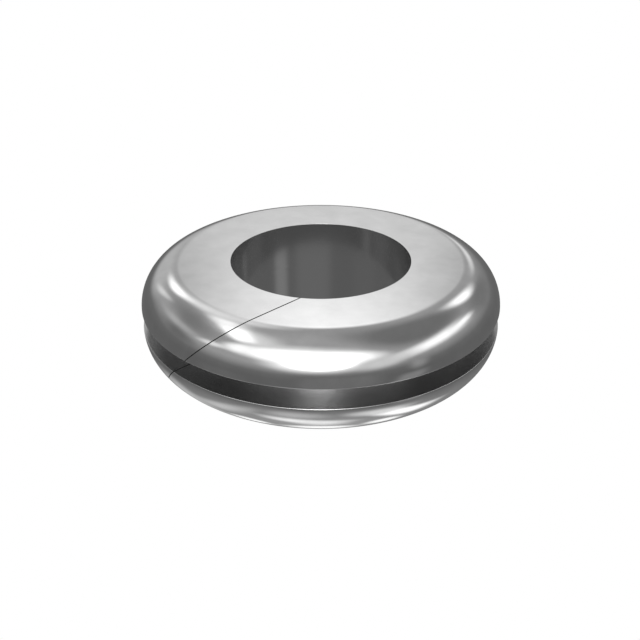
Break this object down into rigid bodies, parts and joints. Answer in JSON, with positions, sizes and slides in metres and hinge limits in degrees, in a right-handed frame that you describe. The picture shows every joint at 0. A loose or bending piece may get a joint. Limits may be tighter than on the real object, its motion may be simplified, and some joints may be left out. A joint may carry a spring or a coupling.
{
  "type": "double grommet",
  "caption": "Round grommet with a smooth cable bore, a rounded flange on each side of a groove for a panel's edge, and a leaning slit through its wall.",
  "frame": {"origin": "centre of the bore, halfway across the panel groove", "axes": "+Z along the bore axis, -Y towards the slit, which leans to +X at the top"},
  "size_m": [0.022, 0.022, 0.006],
  "materials": {
    "polished_metal": "polished"
  },
  "bodies": {
    "root": {"grommet": "polished_metal"}
  },
  "joints": []
}
